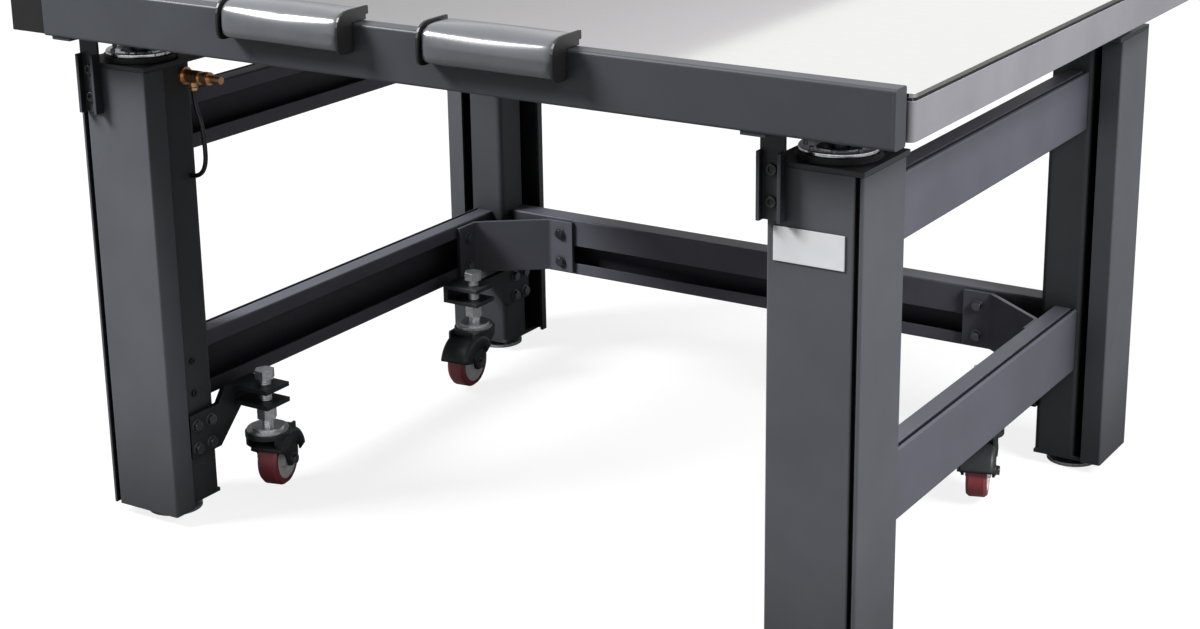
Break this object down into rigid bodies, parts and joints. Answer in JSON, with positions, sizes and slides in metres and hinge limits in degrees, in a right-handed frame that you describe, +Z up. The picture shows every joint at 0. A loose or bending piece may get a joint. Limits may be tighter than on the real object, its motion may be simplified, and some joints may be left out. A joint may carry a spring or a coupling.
{
  "type": "laboratory air table",
  "caption": "Steel-framed vibration isolation table with a floating metal top, front arm bar with pads, and retractable jack casters.",
  "frame": {"origin": "on the floor, below the middle of the bounding box", "axes": "+X to the user's right along the width, +Y to the back, +Z up"},
  "size_m": [1.2192, 0.9732, 0.737],
  "materials": {
    "shell_paint": "fine textured powder coat",
    "column_paint": "fine textured powder coat",
    "rail_paint": "fine textured powder coat",
    "skin_steel": "satin stainless",
    "side_panel": "satin",
    "bar_paint": "satin powder coat",
    "black_plastic": "matte",
    "vinyl": "soft gloss vinyl",
    "zinc": "zinc plated",
    "caster_paint": "satin black",
    "tread": "smooth polyurethane",
    "hub": "smooth",
    "brass": "turned",
    "plaque_white": "smooth"
  },
  "bodies": {
    "frame": {"leg_shell_front_left": "shell_paint", "leg_column_front_left": "column_paint", "foot_front_left": "zinc", "caster_bracket_front_left": "caster_paint", "leg_shell_front_right": "shell_paint", "leg_column_front_right": "column_paint", "foot_front_right": "zinc", "caster_bracket_front_right": "caster_paint", "leg_shell_rear_left": "shell_paint", "leg_column_rear_left": "column_paint", "foot_rear_left": "zinc", "caster_bracket_rear_left": "caster_paint", "leg_shell_rear_right": "shell_paint", "leg_column_rear_right": "column_paint", "foot_rear_right": "zinc", "caster_bracket_rear_right": "caster_paint", "upper_rail_left": "rail_paint", "upper_rail_right": "rail_paint", "lower_rail_left": "rail_paint", "lower_rail_right": "rail_paint", "rear_tie": "rail_paint", "gusset_left": "rail_paint", "gusset_right": "rail_paint", "arm_bar": "bar_paint", "bar_cap_right": "bar_paint", "bar_cap_left": "black_plastic", "bar_bracket_left": "bar_paint", "bar_bracket_right": "bar_paint", "arm_pad_left": "vinyl", "arm_pad_right": "vinyl", "plaque": "plaque_white", "air_valve": "brass", "air_tube": "black_plastic"},
    "tabletop": {"top_core": "side_panel", "top_skin": "skin_steel", "isolator_piston_front_left": "zinc", "isolator_piston_front_right": "zinc", "isolator_piston_rear_left": "zinc", "isolator_piston_rear_right": "zinc"},
    "stem_front_left": {"caster_stem_front_left": "zinc"},
    "swivel_front_left": {"caster_fork_front_left": "caster_paint"},
    "wheel_front_left": {"caster_tread_front_left": "tread", "caster_hub_front_left": "hub"},
    "stem_front_right": {"caster_stem_front_right": "zinc"},
    "swivel_front_right": {"caster_fork_front_right": "caster_paint"},
    "wheel_front_right": {"caster_tread_front_right": "tread", "caster_hub_front_right": "hub"},
    "stem_rear_left": {"caster_stem_rear_left": "zinc"},
    "swivel_rear_left": {"caster_fork_rear_left": "caster_paint"},
    "wheel_rear_left": {"caster_tread_rear_left": "tread", "caster_hub_rear_left": "hub"},
    "stem_rear_right": {"caster_stem_rear_right": "zinc"},
    "swivel_rear_right": {"caster_fork_rear_right": "caster_paint"},
    "wheel_rear_right": {"caster_tread_rear_right": "tread", "caster_hub_rear_right": "hub"}
  },
  "joints": [
    {"name": "tabletop_float", "type": "slide", "parent": "frame", "child": "tabletop", "axis": [0, 0, 1], "range_m": [0, 0.008]},
    {"name": "jack_front_left", "type": "slide", "parent": "frame", "child": "stem_front_left", "axis": [0, 0, 1], "range_m": [-0.008, 0]},
    {"name": "swivel_front_left", "type": "hinge", "parent": "stem_front_left", "child": "swivel_front_left", "pos_m": [-0.404, -0.2586, 0.095], "axis": [0, 0, 1], "continuous": true},
    {"name": "wheel_front_left", "type": "hinge", "parent": "swivel_front_left", "child": "wheel_front_left", "pos_m": [-0.41047, -0.23445, 0.0455], "axis": [-0.9659, -0.2588, 0], "continuous": true},
    {"name": "jack_front_right", "type": "slide", "parent": "frame", "child": "stem_front_right", "axis": [0, 0, 1], "range_m": [-0.008, 0]},
    {"name": "swivel_front_right", "type": "hinge", "parent": "stem_front_right", "child": "swivel_front_right", "pos_m": [0.404, -0.2586, 0.095], "axis": [0, 0, 1], "continuous": true},
    {"name": "wheel_front_right", "type": "hinge", "parent": "swivel_front_right", "child": "wheel_front_right", "pos_m": [0.4165, -0.23695, 0.0455], "axis": [-0.866, 0.5, 0], "continuous": true},
    {"name": "jack_rear_left", "type": "slide", "parent": "frame", "child": "stem_rear_left", "axis": [0, 0, 1], "range_m": [-0.008, 0]},
    {"name": "swivel_rear_left", "type": "hinge", "parent": "stem_rear_left", "child": "swivel_rear_left", "pos_m": [-0.41, 0.2294, 0.095], "axis": [0, 0, 1], "continuous": true},
    {"name": "wheel_rear_left", "type": "hinge", "parent": "swivel_rear_left", "child": "wheel_rear_left", "pos_m": [-0.40782, 0.2045, 0.0455], "axis": [0.9962, 0.0872, 0], "continuous": true},
    {"name": "jack_rear_right", "type": "slide", "parent": "frame", "child": "stem_rear_right", "axis": [0, 0, 1], "range_m": [-0.008, 0]},
    {"name": "swivel_rear_right", "type": "hinge", "parent": "stem_rear_right", "child": "swivel_rear_right", "pos_m": [0.427, 0.2294, 0.095], "axis": [0, 0, 1], "continuous": true},
    {"name": "wheel_rear_right", "type": "hinge", "parent": "swivel_rear_right", "child": "wheel_rear_right", "pos_m": [0.43472, 0.20562, 0.0455], "axis": [0.9511, 0.309, 0], "continuous": true}
  ]
}
